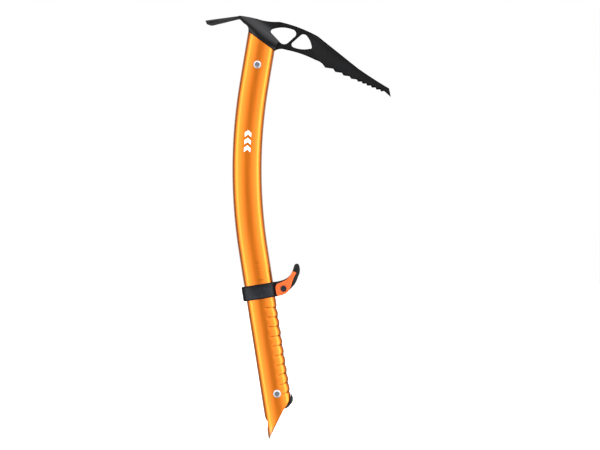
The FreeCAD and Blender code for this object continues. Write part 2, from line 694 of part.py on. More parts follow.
def cam_neck_outline():
    """The web that joins the cam to the back of the lever."""
    x, z = PIVOT
    return outline((x, z), (x + 4.0, z - 2.5), (x + 7.5, z + 1.0), (x + 5.0, z + 7.5), (x, z + 5.0))


def make_lever():
    """The trigger's fork: two cheeks, the web between them, and the cam."""
    x, z = PIVOT
    body = plate(lever_outline(), 2 * CHEEK_OUTER).cut(trigger_way())
    cam = rod(CAM_RADIUS, -CAM_HALF_WIDTH, CAM_HALF_WIDTH, (x - CAM_OFFSET, z))
    neck = plate(cam_neck_outline(), 2 * CAM_HALF_WIDTH)
    body = fused([body, cam.fuse(neck).common(plate(lever_outline(), BIG))])
    shank = rod(PIN_RADIUS + RUN, -BIG, BIG, PIVOT)
    floor = CHEEK_OUTER - PIN_INSET - PIN_HEAD_HEIGHT - RUN
    near = rod(PIN_HEAD_RADIUS + RUN, -BIG, -floor, PIVOT)
    far = rod(PIN_HEAD_RADIUS + RUN, floor, BIG, PIVOT)
    return body.cut([shank, near, far])


def make_overmold():
    """The soft skin along the lever's top, back and tip."""
    skin = plate(overmold_outline(), 2 * OVERMOLD_HALF_WIDTH)
    return skin.cut([plate(lever_outline(), BIG), trigger_way()])


# Writing

def on_rest(shape):
    shape.Placement = rest_placement().multiply(shape.Placement)
    return shape


def write(name, shape):
    shape.exportStep("parts/" + name + ".step")


def main():
    os.makedirs("parts", exist_ok=True)
    bore = shaft_bore()
    filling = shaft_bore(LOOSE)
    write("shaft", make_shaft(bore))
    write("pick", make_pick())
    write("adze", make_adze())
    write("head_filler_near", make_filler(filling, -1))
    write("head_filler_far", make_filler(filling, 1))
    write("tang_rivets", make_rivets())
    write("head_bolt", make_bolt(head_bolt_centre()))
    write("head_nut", make_sleeve_nut(head_bolt_centre()))
    write("foot_bolt", make_bolt(foot_bolt_centre()))
    write("foot_nut", make_sleeve_nut(foot_bolt_centre()))
    write("foot_plug", make_foot_plug(filling))
    write("strap", on_rest(make_strap()))
    write("lug_bushes", on_rest(make_bushes()))
    write("pivot_washers", on_rest(make_washers()))
    write("pivot_pin", on_rest(make_pivot_pin()))
    write("pivot_nut", on_rest(make_pivot_nut()))
    write("brake_shoe", on_rest(make_brake_shoe()))
    write("shoe_pad", on_rest(make_shoe_pad()))
    write("trigger_lever", on_rest(make_lever()))
    write("trigger_overmold", on_rest(make_overmold()))


main()
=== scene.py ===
import bmesh
import bpy
import math
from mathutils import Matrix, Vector


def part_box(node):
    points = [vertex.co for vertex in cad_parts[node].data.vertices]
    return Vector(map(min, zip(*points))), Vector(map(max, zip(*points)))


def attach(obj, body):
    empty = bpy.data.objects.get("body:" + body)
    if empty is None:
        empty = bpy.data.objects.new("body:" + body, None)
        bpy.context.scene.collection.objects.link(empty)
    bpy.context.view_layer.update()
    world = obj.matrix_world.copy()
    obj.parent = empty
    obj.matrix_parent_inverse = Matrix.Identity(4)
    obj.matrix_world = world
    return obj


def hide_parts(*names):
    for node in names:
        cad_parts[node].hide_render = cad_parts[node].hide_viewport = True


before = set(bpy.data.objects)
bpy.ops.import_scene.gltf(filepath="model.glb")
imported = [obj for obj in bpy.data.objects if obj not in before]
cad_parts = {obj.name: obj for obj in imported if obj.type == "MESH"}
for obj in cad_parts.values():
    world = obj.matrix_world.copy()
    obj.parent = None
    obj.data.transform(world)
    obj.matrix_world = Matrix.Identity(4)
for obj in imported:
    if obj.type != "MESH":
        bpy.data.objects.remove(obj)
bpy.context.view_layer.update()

# The look of a short technical ice axe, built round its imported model. Metres, in the model's own frame:
# X along the pick, Z up the axe, Y across it, the origin at the point of the foot.

MM = 0.001

# Shaft: a bent oval tube
HALF_WIDTH = 15.55 * MM
HALF_DEPTH = 10.5 * MM
END_RADIUS = 9.5 * MM           # of the oval's narrow ends
WALL = 1.5 * MM
FOOT_AXIS_X = 15.3 * MM         # where the lower axis crosses the height of the point
LOWER_LENGTH = 203.4 * MM       # along the lower axis, from that height to the bend
LOWER_TILT = math.radians(8.96)
BEND_RADIUS = 545 * MM
UPPER_TILT = math.radians(9.42)
MOUTH_REAR = Vector((-21.8, 432.4)) * MM    # the upper end is cut obliquely, from here to MOUTH_FRONT
MOUTH_FRONT = Vector((5.9, 411.9)) * MM
REST_ALONG = 158.84 * MM        # of the hand rest's middle, along the lower axis

# Foot, as points in X and Z from its point up: the bevel's two arcs, and the pinch's two lines and arc
BEVEL = [Vector(point) * MM for point in ((0, 0), (8.7, 17.6), (16.2, 32.2), (22.3, 41.8), (23.9, 50.6))]
PINCH = [Vector(point) * MM for point in ((0, 0), (-1.5, 9.5), (-0.9, 18.9), (-3.2, 22.0), (-4.6, 27.0))]
PINCH_RUNOUT = 2.0              # slope by which the pinch leaves the shaft's surface above its arc
PINCH_TOP = 32 * MM             # nothing is pinched above this height

# Shaft's mesh
COLUMNS = 180                   # round the shaft
TURNS = [2 * math.pi * (column + 0.5) / COLUMNS for column in range(COLUMNS)]
RIM_ROUNDING = ((0.0, 0.45 * MM), (0.5 * MM, 0.2 * MM), (1.2 * MM, 0.04 * MM))  # rise and inset of each ring
RIM_TOP = 2.2 * MM              # rise of the first ring above the bevel's rounded rim
RIM_SHADE = 0.9                 # how dark the painted shade on that rim is
ROWS_FROM = 72 * MM             # rings between these two distances lie across the shaft,
ROWS_TO = 396 * MM              # the others follow its cut ends
FINE_STEP = 0.4 * MM
COARSE_STEP = 3.0 * MM
FINE_ABOVE_GRIP = 8 * MM        # fine rings reach this far above the first groove,
FINE_ROUND_BARS = (12 * MM, 36 * MM)        # and lie between these distances above the hand rest
LOWER_RINGS = 110               # between the bevel and ROWS_FROM, outside
INNER_LOWER_RINGS = 12
UPPER_RINGS = 12                # between ROWS_TO and the mouth
FOOT_RANGE = (-6 * MM, 62 * MM)         # along the axis, between which the bevel cuts the surface
MOUTH_RANGE = (380 * MM, 460 * MM)      # the same for the mouth
HALVINGS = 40                   # of such a range, to find the cut

# Grip: grooves across the pick side, each run of metal between them bulging
GROOVE_COUNT = 10
GROOVE_PITCH = 10 * MM
GROOVE_FIRST = REST_ALONG - 19.4 * MM
GRIP_LENGTH = (GROOVE_COUNT - 1) * GROOVE_PITCH
GRIP_RUNOUT = 0.6               # past the first and last groove, in pitches
GROOVE_DEPTH = 1.0 * MM
GROOVE_LINE = 0.055             # half width of the painted shade line in a groove, as a share of the pitch
GROOVE_SLOPE = math.tan(math.radians(9))
SLOPE_FADE = 20 * MM            # above the first groove, to level rings
BULGE_SKEW = 1.45               # more than one moves the top of a bulge down
BULGE_FULLNESS = 0.75           # less than one flattens its top
GROOVE_ENDS = ((0.5 * MM, 5.0 * MM), (4.0 * MM, 8.0 * MM))  # from the axis: start and full, first and last
BROAD_DEPTH = 0.3               # of a groove on the broad sides, as a share of GROOVE_DEPTH
DEEPER_FROM = 7 * MM            # from the axis

# Raised bars above the hand rest
BAR_COUNT = 4
BAR_FIRST = 14.0 * MM           # above the hand rest's middle
BAR_PITCH = 5.6 * MM
BAR_ASIDE = 4.0 * MM
BAR_HALF_LENGTH = 2.2 * MM      # between the centres of its round ends
BAR_RADIUS = 1.5 * MM
BAR_HEIGHT = 0.16 * MM          # less than the strap's gap, so that the hand rest slides over them
BAR_PAINTED_SHADE = 2.4               # how dark the painted shade round their edges is
BROAD_SIDE = 0.5                # the X of a normal stays under this on the shaft's broad sides

# Printed mark: chevrons on the upper shaft
MARK_ALONG = 319 * MM           # of its middle, along the shaft's axis
CHEVRON_COUNT = 3
CHEVRON_PITCH = 8.0 * MM
CHEVRON_THICKNESS = 4.4 * MM
CHEVRON_HALF_WIDTH = 3.4 * MM
CHEVRON_SLOPE = 0.8             # how far an arm falls along the shaft, as a share of its reach aside

# Cross bolts
BOLT_RADIUS = 4.2 * MM
BOLT_HEIGHT = 2.2 * MM
BOLT_SEAT = HALF_DEPTH - 0.4 * MM
BOLT_STUB_RADIUS = 2.9 * MM
BOLT_STUB_LENGTH = 6 * MM
# Profile of the rim, as steps past BOLT_RADIUS and heights above the seat
BOLT_RIM = ((-0.15 * MM, 0.0), (0.0, 0.15 * MM), (0.0, 0.45 * MM), (-0.08 * MM, 0.62 * MM))
DOME_BASE = 0.35 * MM           # the dome is part of an ellipse round a middle this far above the seat
DOME_HALF_WIDTH = 1.02 * BOLT_RADIUS
DOME_HALF_HEIGHT = 1.7875 * MM
DOME_ANGLES = range(17, 48, 5)  # degrees
SOCKET_WIDTH = 4.0 * MM
SOCKET_DEPTH = 1.5 * MM
# Profile of the socket, as shares of its half width and depths under the top of the head
SOCKET_LIP = ((1.26, 0.02 * MM), (1.2, 0.0))
SOCKET_WALL = ((1.04, 0.05 * MM), (1.0, 0.22 * MM), (0.99, SOCKET_DEPTH))
SOCKET_BOTTOM = ((0.15, SOCKET_DEPTH + 0.1 * MM),)

# Hand rest. Its own frame lies on the lower axis: X towards the pick side, Z up the shaft.
PIVOT = Vector((25.4, -0.9)) * MM
STRAP_GAP = 0.2 * MM
STRAP_THICKNESS = 2.0 * MM
STRAP_HALF_HEIGHT = 7.8 * MM
STRAP_MIDDLE = -0.15 * MM       # height of its middle
STRAP_LEAVES = math.radians(48) # turn of the section at which it leaves the shaft for its eyes
STRAP_STEPS = 120               # round the shaft
STRAP_COLUMNS = 44              # of its mesh, round its own section
STRAP_SQUARENESS = 0.3          # one for an elliptic section, nothing for a square one
BACK_EXTRA = 1.1 * MM           # more thickness behind the shaft,
BACK_FROM, BACK_TO = -11.0 * MM, -17.0 * MM         # growing between these X
EAR_HALF_HEIGHT = 5.5 * MM
EAR_FROM, EAR_TO = 17.5 * MM, 22.0 * MM             # X between which the band narrows to its ears
EAR_MIDDLE = 5.1 * MM           # of an ear's thickness, from the middle plane
EAR_PAST_PIVOT = 1.5 * MM
EAR_STEPS = 13
EAR_STRAIGHT = 9 * MM           # how stiffly the ear's curve starts at the eye,
EAR_JOIN = 3.2 * MM             # and how stiffly it meets the shaft
PANEL_DEPTH = 0.5 * MM
PANEL_REAR = (-15.0 * MM, -13.5 * MM)       # X between which the sunk panel starts,
PANEL_FRONT = (14.5 * MM, 13.0 * MM)        # and ends
PANEL_EDGE = (0.86, 0.74)       # share of the half height between which it sinks
CHEEK_FACE = 9.4 * MM           # of the lever, from the middle plane
DISH_RADIUS = 4.9 * MM
DISH_DEPTH = 0.9 * MM
DISH_STEPS = 8
DISH_DARK = 3.2 * MM            # the painted shade in the dish is darkest nearer to the pin than this
DISH_SHADE = 0.9
AXIS_HOLE = 0.05 * MM           # radius of a turned piece's first ring, instead of a point

# Copies of CAD nodes
JOIN_DISTANCE = 0.002 * MM
FLAT_ANGLE = math.radians(0.7)  # faces that differ by less become one
ROUND_FROM = 35                 # degrees: edges sharper than this are rounded
ROUND_STEPS = 3


# Mesh helpers

def clamp(value):
    return min(1.0, max(0.0, value))


def smoothstep(low, high, value):
    share = clamp((value - low) / (high - low))
    return share * share * (3 - 2 * share)


def mix(a, b, share):
    return a + (b - a) * share


def made(name, verts, faces, sharp):
    """A mesh object with smooth faces, where edges sharper than an angle in degrees stay sharp."""
    mesh = bpy.data.meshes.new(name)
    mesh.from_pydata([tuple(v) for v in verts], [], faces)
    mesh.validate()
    shaded(mesh, sharp)
    obj = bpy.data.objects.new(name, mesh)
    bpy.context.scene.collection.objects.link(obj)
    return obj


def shaded(mesh, sharp):
    mesh.polygons.foreach_set("use_smooth", [True] * len(mesh.polygons))
    mesh.set_sharp_from_angle(angle=math.radians(sharp))
    mesh.update()


def bands(rings, columns, closed=False):
    """Quads between rings of points. On a closed piece the last ring meets the first."""
    faces = []
    for ring in range(rings if closed else rings - 1):
        after = (ring + 1) % rings
        for column in range(columns):
            beside = (column + 1) % columns
            faces.append((ring * columns + column, ring * columns + beside,
                          after * columns + beside, after * columns + column))
    return faces


def capped(rings, columns):
    """The faces of a closed form: bands between its rings, and a cap on each end."""
    first = tuple(range(columns))
    last = tuple(range((rings - 1) * columns, rings * columns))
    return bands(rings, columns) + [first[::-1], last]


def noted(obj, name, values):
    """Writes a value at each of a piece's points, for its material to read."""
    obj.data.attributes.new(name, "FLOAT", "POINT").data.foreach_set("value", values)


def settled(obj, sharp):
    """The object with its modifiers made part of its mesh."""
    graph = bpy.context.evaluated_depsgraph_get()
    mesh = bpy.data.meshes.new_from_object(obj.evaluated_get(graph))
    obj.modifiers.clear()
    obj.data = mesh
    shaded(mesh, sharp)
    return obj


def copied(node, name):
    """A copy of a CAD node's mesh, with its points joined and its flat faces whole."""
    work = bmesh.new()
    work.from_mesh(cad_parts[node].data)
    bmesh.ops.remove_doubles(work, verts=work.verts, dist=JOIN_DISTANCE)
    bmesh.ops.dissolve_limit(work, angle_limit=FLAT_ANGLE, verts=work.verts, edges=work.edges)
    mesh = bpy.data.meshes.new(name)
    work.to_mesh(mesh)
    work.free()
    obj = bpy.data.objects.new(name, mesh)
    bpy.context.scene.collection.objects.link(obj)
    return obj


def rounded(node, name, width):
    """A copy of a CAD node with its sharp edges rounded."""
    obj = copied(node, name)
    bevel = obj.modifiers.new("rounding", "BEVEL")
    bevel.width = width
    bevel.segments = ROUND_STEPS
    bevel.limit_method = "ANGLE"
    bevel.angle_limit = math.radians(ROUND_FROM)
    bevel.use_clamp_overlap = True
    bevel.harden_normals = False
    return settled(obj, sharp=ROUND_FROM)


def softened(node, name, voxel, rounds):
    """A copy of a CAD node remeshed and smoothed, as a forged or moulded piece is."""
    obj = copied(node, name)
    remesh = obj.modifiers.new("remesh", "REMESH")
    remesh.mode = "VOXEL"
    remesh.voxel_size = voxel
    smooth = obj.modifiers.new("smooth", "SMOOTH")
    smooth.factor = 0.5
    smooth.iterations = rounds
    return settled(obj, sharp=60)


def placed(obj, body, slot, material, *nodes):
    """Gives a piece its material, its body and the CAD nodes that it stands for."""
    obj.data.materials.clear()
    obj.data.materials.append(material)
    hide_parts(*nodes)
    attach(obj, body)


# Shaft's geometry

def lower_axis(along):
    return Vector((FOOT_AXIS_X - along * math.sin(LOWER_TILT), along * math.cos(LOWER_TILT)))


def axis_at(along):
    """The middle of the shaft and its tilt, at a distance along its axis."""
    if along < LOWER_LENGTH:
        return lower_axis(along), -LOWER_TILT
    centre = lower_axis(LOWER_LENGTH) + BEND_RADIUS * Vector((math.cos(LOWER_TILT), math.sin(LOWER_TILT)))
    tilt = min(UPPER_TILT, (along - LOWER_LENGTH) / BEND_RADIUS - LOWER_TILT)
    point = centre + BEND_RADIUS * Vector((-math.cos(tilt), math.sin(tilt)))
    beyond = along - LOWER_LENGTH - (tilt + LOWER_TILT) * BEND_RADIUS
    return point + beyond * Vector((math.sin(tilt), math.cos(tilt))), tilt


def on_section(turn, offset=0.0):
    """A point of the oval section, as how far aside and how far across, and its normal, from its turn."""
    end_centre = HALF_WIDTH - END_RADIUS
    broad_radius = (end_centre ** 2 + HALF_DEPTH ** 2 - END_RADIUS ** 2) / (2 * (HALF_DEPTH - END_RADIUS))
    broad_centre = broad_radius - HALF_DEPTH
    join = math.atan2(broad_centre, end_centre)
    normal = Vector((math.cos(turn), math.sin(turn)))
    if abs(normal.x) > math.cos(join):
        return Vector((math.copysign(end_centre, normal.x), 0)) + (END_RADIUS + offset) * normal, normal
    return Vector((0, -math.copysign(broad_centre, normal.y))) + (broad_radius + offset) * normal, normal


def arc_x(height, low, middle, high):
    """X, at a height, on the arc through three points, on the side of its middle point."""
    near = middle - low
    far = high - low
    area = 2 * (near.x * far.y - near.y * far.x)
    centre = low + Vector((far.y * near.length_squared - near.y * far.length_squared,
                           near.x * far.length_squared - far.x * near.length_squared)) / area
    radius = (low - centre).length
    reach = math.sqrt(max(0.0, radius ** 2 - (height - centre.y) ** 2))
    return centre.x + math.copysign(reach, middle.x - centre.x)


def line_x(height, low, high):
    return mix(low.x, high.x, (height - low.y) / (high.y - low.y))


def bevel_x(height):
    """The long bevel of the foot: everything with a larger X is cut away."""
    if height > BEVEL[2].y:
        return arc_x(height, *BEVEL[2:])
    return arc_x(height, *BEVEL[:3])


def pinch_x(height):
    """The pinched side of the point: the shaft's surface is pressed in to this X."""
    point, knee, low, middle, high = PINCH
    if height > low.y:
        above = max(0.0, height - high.y)
        return arc_x(height - above, low, middle, high) - PINCH_RUNOUT * above
    if height > knee.y:
        return line_x(height, knee, low)
    return line_x(height, point, knee)


def groove_slope(along):
    """The grooves fall towards the pick side at the top of the grip, and rise at its bottom."""
    share = clamp((GROOVE_FIRST - along) / GRIP_LENGTH)
    fading = smoothstep(GROOVE_FIRST + SLOPE_FADE, GROOVE_FIRST, along)
    return mix(-GROOVE_SLOPE, GROOVE_SLOPE, share) * fading


def grip(along, aside):
    """How deep the grip is pressed at a place on the shaft, and how near that is to a groove's bottom, which
    sets the painted shade there.
    """
    last = GROOVE_COUNT - 1
    level = along - groove_slope(along) * (aside - HALF_WIDTH)
    count = (GROOVE_FIRST - level) / GROOVE_PITCH
    if count < -GRIP_RUNOUT or count > last + GRIP_RUNOUT:
        return 0.0, 0.0
    ends = smoothstep(-GRIP_RUNOUT, 0.0, count) * smoothstep(last + GRIP_RUNOUT, last, count)
    phase = count - math.floor(count)
    bulge = math.sin(math.pi * phase ** BULGE_SKEW) ** BULGE_FULLNESS
    start, full = [mix(first, final, clamp(count / last)) for first, final in zip(*GROOVE_ENDS)]
    fade = smoothstep(start, full, aside)
    depth = GROOVE_DEPTH * mix(BROAD_DEPTH * fade, 1.0, smoothstep(DEEPER_FROM, HALF_WIDTH, aside))
    away = min(phase, 1 - phase) / GROOVE_LINE
    return depth * ends * (1 - bulge), ends * fade * math.exp(-away ** 2)


def raised_bar(along, aside):
    """How high the raised bars stand at a place on the shaft."""
    height = 0.0
    for number in range(BAR_COUNT):
        middle = REST_ALONG + BAR_FIRST + number * BAR_PITCH
        beside = max(0.0, abs(aside - BAR_ASIDE) - BAR_HALF_LENGTH)
        reach = math.hypot(beside, along - middle) / BAR_RADIUS
        height = max(height, smoothstep(1.0, 0.5, reach))
    return BAR_HEIGHT * height


def shaft_point(along, turn, offset=0.0):
    """A point of the shaft's surface, with its grip, raised bars and pinched point."""
    section, normal = on_section(turn, offset)
    aside = section.x
    press = grip(along, aside)[0] if normal.x > 0 else 0.0
    if offset == 0.0 and abs(normal.x) < BROAD_SIDE:
        press -= raised_bar(along, aside)
    section = section - normal * press
    middle, tilt = axis_at(along)
    x = middle.x + section.x * math.cos(tilt)
    z = middle.y - section.x * math.sin(tilt)
    if z < PINCH_TOP:
        x = max(x, pinch_x(z) - offset)
    return Vector((x, section.y, z))


def boundary(low, high, before):
    """Where, between two distances along the axis, a test stops being true."""
    for _ in range(HALVINGS):
        middle = (low + high) / 2
        if before(middle):
            low = middle
        else:
            high = middle
    return (low + high) / 2


def lower_end(turn, offset):
    """How far along its axis the shaft's surface starts, where the bevel cuts it."""
    def cut_away(along):
        point = shaft_point(along, turn, offset)
        return point.z < 0 or point.x > bevel_x(max(0.0, min(point.z, BEVEL[-1].y)))

    return boundary(*FOOT_RANGE, cut_away)


def upper_end(turn, offset):
    """How far along its axis the shaft's surface ends, in the plane of its mouth."""
    slope = (MOUTH_FRONT - MOUTH_REAR).normalized()
    above = Vector((-slope.y, slope.x))

    def under_mouth(along):
        return (shaft_point(along, turn, offset).xz - MOUTH_FRONT).dot(above) < 0

    return boundary(*MOUTH_RANGE, under_mouth)


def shaft_rows(fine):
    """Distances along the axis between the two cut ends, close together where the surface has detail."""
    rows = []
    along = ROWS_FROM
    bars_from, bars_to = FINE_ROUND_BARS
    while along < ROWS_TO:
        rows.append(along)
        at_grip = along < GROOVE_FIRST + FINE_ABOVE_GRIP
        at_bars = REST_ALONG + bars_from < along < REST_ALONG + bars_to
        along += FINE_STEP if fine and (at_grip or at_bars) else COARSE_STEP
    return rows


def sheared(row, turn):
    """The row moved so that it follows the slope of the grooves on the pick side."""
    section, _ = on_section(turn)
    return row + groove_slope(row) * (section.x - HALF_WIDTH)


def shaft_ring(offset, places):
    """A ring of points, each at its own distance along the axis."""
    return [shaft_point(along, turn, offset) for along, turn in zip(places, TURNS)]


def shaft_surface(offset, fine):
    """Rings of points up the shaft, from the bevel to the mouth."""
    lows = [lower_end(turn, offset) for turn in TURNS]
    highs = [upper_end(turn, offset) for turn in TURNS]
    rows = shaft_rows(fine)
    rings = []
    if fine:
        for rise, inset in RIM_ROUNDING:
            rings.append(shaft_ring(offset - inset, [low + rise for low in lows]))
    lower_count = LOWER_RINGS if fine else INNER_LOWER_RINGS
    for number in range(lower_count):
        places = [mix(low + RIM_TOP, sheared(rows[0], turn), number / lower_count)
                  for low, turn in zip(lows, TURNS)]
        rings.append(shaft_ring(offset, places))
    for row in rows:
        rings.append(shaft_ring(offset, [sheared(row, turn) for turn in TURNS]))
    for number in range(1, UPPER_RINGS + 1):
        rings.append(shaft_ring(offset, [mix(rows[-1], high, number / UPPER_RINGS) for high in highs]))
    return rings


def painted_shade_at(point):
    """How much painted shade a point of the lower shaft gets: in its grooves, and round the raised bars."""
    along = point.z * math.cos(LOWER_TILT) - (point.x - FOOT_AXIS_X) * math.sin(LOWER_TILT)
    if along > LOWER_LENGTH:
        return 0.0
    aside = (point.x - lower_axis(along).x) / math.cos(LOWER_TILT)
    if along < REST_ALONG:
        return grip(along, aside)[1] if aside > 0 else 0.0
    height = raised_bar(along, aside) / BAR_HEIGHT
    return BAR_PAINTED_SHADE * height * (1 - height)


def make_shaft(material):
    """The tube: its outer surface up the shaft, and its inner one back down."""
    rings = shaft_surface(0.0, True) + shaft_surface(-WALL, False)[::-1]
    verts = [point for ring in rings for point in ring]
    obj = made("shaft_tube", verts, bands(len(rings), COLUMNS, closed=True), sharp=50)
    # Painted shade: in the grooves, round the raised bars, and all along the bevel's rounded rim.
    shades = [painted_shade_at(point) for point in verts]
    rim = COLUMNS * len(RIM_ROUNDING)
    shades[:rim] = [RIM_SHADE] * rim
    noted(obj, "shade", shades)
    placed(obj, "axe", "orange_anodised", material, "shaft")


# Bolts

def lathe(name, profile, centre, side, columns=72, hexagon=()):
    """Rings of (radius, height) turned round Y, the heights rising to one side of a centre.
    The rings numbered in hexagon are six-sided."""
    verts = []
    for number, (radius, height) in enumerate(profile):
        for column in range(columns):
            angle = 2 * math.pi * column / columns
            reach = radius
            if number in hexagon:
                sixth = math.pi / 3
                reach = radius / math.cos((angle + sixth / 2) % sixth - sixth / 2)
            verts.append(centre + Vector((reach * math.cos(angle), side * height, reach * math.sin(angle))))
    faces = capped(len(profile), columns)
    if side < 0:
        faces = [face[::-1] for face in faces]
    return made(name, verts, faces, sharp=30)


def head_profile():
    """The outside of a button head: a stub of its shank, its rim and its dome, from the seat up."""
    profile = [(2 * AXIS_HOLE, -BOLT_STUB_LENGTH), (BOLT_STUB_RADIUS, -BOLT_STUB_LENGTH),
               (BOLT_STUB_RADIUS, 0.0)]
    profile += [(BOLT_RADIUS + step, height) for step, height in BOLT_RIM]
    for degrees in DOME_ANGLES:
        angle = math.radians(degrees)
        profile.append((DOME_HALF_WIDTH * math.cos(angle), DOME_BASE + DOME_HALF_HEIGHT * math.sin(angle)))
    return profile


def under_top(shares):
    """Points of the socket's profile, as radii and heights above the seat."""
    return [(share * SOCKET_WIDTH / 2, BOLT_HEIGHT - depth) for share, depth in shares]


def button_head(name, node, side, material):
    """A domed head with a hexagon socket, where the CAD node has its own."""
    low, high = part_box(node)
    seat = Vector(((low.x + high.x) / 2, side * BOLT_SEAT, (low.z + high.z) / 2))
    round_part = head_profile() + under_top(SOCKET_LIP)
    walls = under_top(SOCKET_WALL)
    hexagon = range(len(round_part), len(round_part) + len(walls))
    profile = round_part + walls + under_top(SOCKET_BOTTOM)
    obj = lathe(name, profile, seat, side, hexagon=hexagon)
    placed(obj, "axe", "bright_steel", material, node)


# Hand rest

def on_rest(x, y, z):
    """The place, in the model's frame, of a point given in the hand rest's own."""
    middle, tilt = axis_at(REST_ALONG)
    side = Vector((math.cos(tilt), 0, -math.sin(tilt)))
    up = Vector((math.sin(tilt), 0, math.cos(tilt)))
    return Vector((middle.x, 0, middle.y)) + x * side + y * Vector((0, 1, 0)) + z * up


def bezier(a, b, c, d, share):
    """A point on the curve from a to d that leaves towards b and arrives from c."""
    left = 1 - share
    return a * left ** 3 + b * 3 * share * left ** 2 + c * 3 * share ** 2 * left + d * share ** 3


def strap_path():
    """The strap's middle line, from the near eye round the back of the shaft to the far eye."""
    offset = STRAP_GAP + STRAP_THICKNESS / 2
    start, normal = on_section(-STRAP_LEAVES, offset)
    joining = start + EAR_JOIN * Vector((-normal.y, normal.x))
    eye = Vector((PIVOT.x + EAR_PAST_PIVOT, -EAR_MIDDLE))
    straight = eye - Vector((EAR_STRAIGHT, 0))
    near = [bezier(eye, straight, joining, start, step / EAR_STEPS) for step in range(EAR_STEPS)]
    band = []
    for step in range(STRAP_STEPS + 1):
        turn = -STRAP_LEAVES - 2 * (math.pi - STRAP_LEAVES) * step / STRAP_STEPS
        band.append(on_section(turn, offset)[0])
    return near + band + [Vector((point.x, -point.y)) for point in near[::-1]]


def squared(value):
    """A sine or cosine moved away from zero, which turns a round section into a rounded square one."""
    return math.copysign(abs(value) ** STRAP_SQUARENESS, value)


def strap_ring(point, heading):
    """Points round the strap at a place on its middle line, and how far each belongs to a rim."""
    out = Vector((-heading.y, heading.x))
    behind = smoothstep(BACK_FROM, BACK_TO, point.x)
    ear = smoothstep(EAR_FROM, EAR_TO, point.x)
    half = mix(STRAP_HALF_HEIGHT, EAR_HALF_HEIGHT, ear)
    middle = mix(STRAP_MIDDLE, PIVOT.y, ear)
    panel = smoothstep(*PANEL_REAR, point.x) * smoothstep(*PANEL_FRONT, point.x)
    ring = []
    rims = []
    for number in range(STRAP_COLUMNS):
        turn = -2 * math.pi * (number + 0.5) / STRAP_COLUMNS
        up = squared(math.sin(turn))
        outward = squared(math.cos(turn))
        thick = STRAP_THICKNESS / 2
        sunk = 0.0
        if outward > 0:
            thick += BACK_EXTRA * behind
            sunk = panel * smoothstep(*PANEL_EDGE, abs(up))
        place = point + out * (outward * thick - PANEL_DEPTH * sunk)
        ring.append(on_rest(place.x, place.y, middle + up * half))
        rims.append(1 - sunk)
    return ring, rims


def make_strap(material):
    """The moulded band: rims along its edges, and a sunk panel between them on each broad side."""
    line = strap_path()
    verts = []
    rims = []
    for index, point in enumerate(line):
        before = line[max(0, index - 1)]
        after = line[min(len(line) - 1, index + 1)]
        ring, ring_rims = strap_ring(point, (after - before).normalized())
        verts += ring
        rims += ring_rims
    obj = made("rest_strap", verts, capped(len(line), STRAP_COLUMNS), sharp=50)
    noted(obj, "rim", rims)
    placed(obj, "hand_rest", "strap_rubber", material, "strap")


def dish_cutter(side):
    """What is cut away to leave a shallow dish in one of the lever's cheeks, round the pin."""
    above = CHEEK_FACE + 1 * MM
    profile = [(AXIS_HOLE, CHEEK_FACE - DISH_DEPTH)]
    for step in range(1, DISH_STEPS + 1):
        share = step / DISH_STEPS
        profile.append((DISH_RADIUS * share, CHEEK_FACE - DISH_DEPTH * (1 - share ** 2)))
    profile += [(DISH_RADIUS * 1.05, above), (AXIS_HOLE, above)]
    return lathe("dish_cutter", profile, on_rest(PIVOT.x, 0, PIVOT.y), side, columns=48)


def dished(obj):
    """Sinks a dish into both of the lever's cheeks, and notes the painted shade in them."""
    for side in (-1, 1):
        cutter = dish_cutter(side)
        cut = obj.modifiers.new("dish", "BOOLEAN")
        cut.operation = "DIFFERENCE"
        cut.object = cutter
        settled(obj, sharp=ROUND_FROM)
        bpy.data.objects.remove(cutter)
    middle = on_rest(PIVOT.x, 0, PIVOT.y)
    # Painted shade in each dish, darkest near the pin.
    shades = []
    for vertex in obj.data.vertices:
        reach = (vertex.co - middle).xz.length
        outside = abs(vertex.co.y) > CHEEK_FACE - DISH_DEPTH * 1.1
        shades.append(DISH_SHADE * smoothstep(DISH_RADIUS * 0.98, DISH_DARK, reach) if outside else 0.0)
    noted(obj, "dish", shades)
    return obj


# Materials

class Nodes:
    """A node tree, with short ways to add and join nodes. A value is a number, a colour or a socket."""

    def __init__(self, tree):
        self.tree = tree

    def join(self, value, socket):
        if hasattr(value, "is_output"):
            self.tree.links.new(value, socket)
        else:
            socket.default_value = value

    def math(self, operation, a, b=0.0):
        node = self.tree.nodes.new("ShaderNodeMath")
        node.operation = operation
        self.join(a, node.inputs[0])
        self.join(b, node.inputs[1])
        return node.outputs[0]

    def ramp(self, value, low, high, start=0.0, end=1.0):
        """Goes smoothly from start to end while the value goes from low to high."""
        node = self.tree.nodes.new("ShaderNodeMapRange")
        node.interpolation_type = "SMOOTHSTEP"
        for name, amount in (("Value", value), ("From Min", low), ("From Max", high),
                             ("To Min", start), ("To Max", end)):
            self.join(amount, node.inputs[name])
        return node.outputs["Result"]


